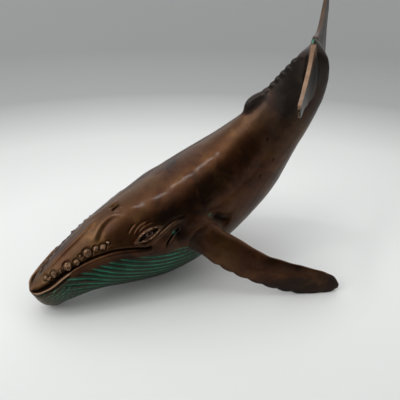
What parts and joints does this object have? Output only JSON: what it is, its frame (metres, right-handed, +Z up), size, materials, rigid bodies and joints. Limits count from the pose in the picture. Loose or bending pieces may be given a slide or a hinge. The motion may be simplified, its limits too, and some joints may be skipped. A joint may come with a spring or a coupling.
{
  "type": "whale figurine",
  "caption": "Patinated bronze humpback whale figurine with its tail raised and curled, resting on its throat and the tips of its flippers.",
  "frame": {"origin": "on the ground under the middle of the whole figurine's box", "axes": "+Z up, the head points to -X, the whale's left side faces -Y"},
  "size_m": [0.1998, 0.141, 0.1566],
  "materials": {
    "bronze_body": "patinated bronze, satin",
    "bronze_flippers": "patinated bronze, satin",
    "bronze_tail": "patinated bronze, worn along the edges",
    "filler_metal": "dressed and patinated",
    "bronze_plugs": "patinated, flush with the skin"
  },
  "bodies": {
    "root": {"body_casting": "bronze_body", "left_flipper": "bronze_flippers", "right_flipper": "bronze_flippers", "tail_flukes": "bronze_tail", "left_flipper_braze": "filler_metal", "right_flipper_braze": "filler_metal", "tail_braze": "filler_metal", "core_pin_plugs": "bronze_plugs"}
  },
  "joints": []
}
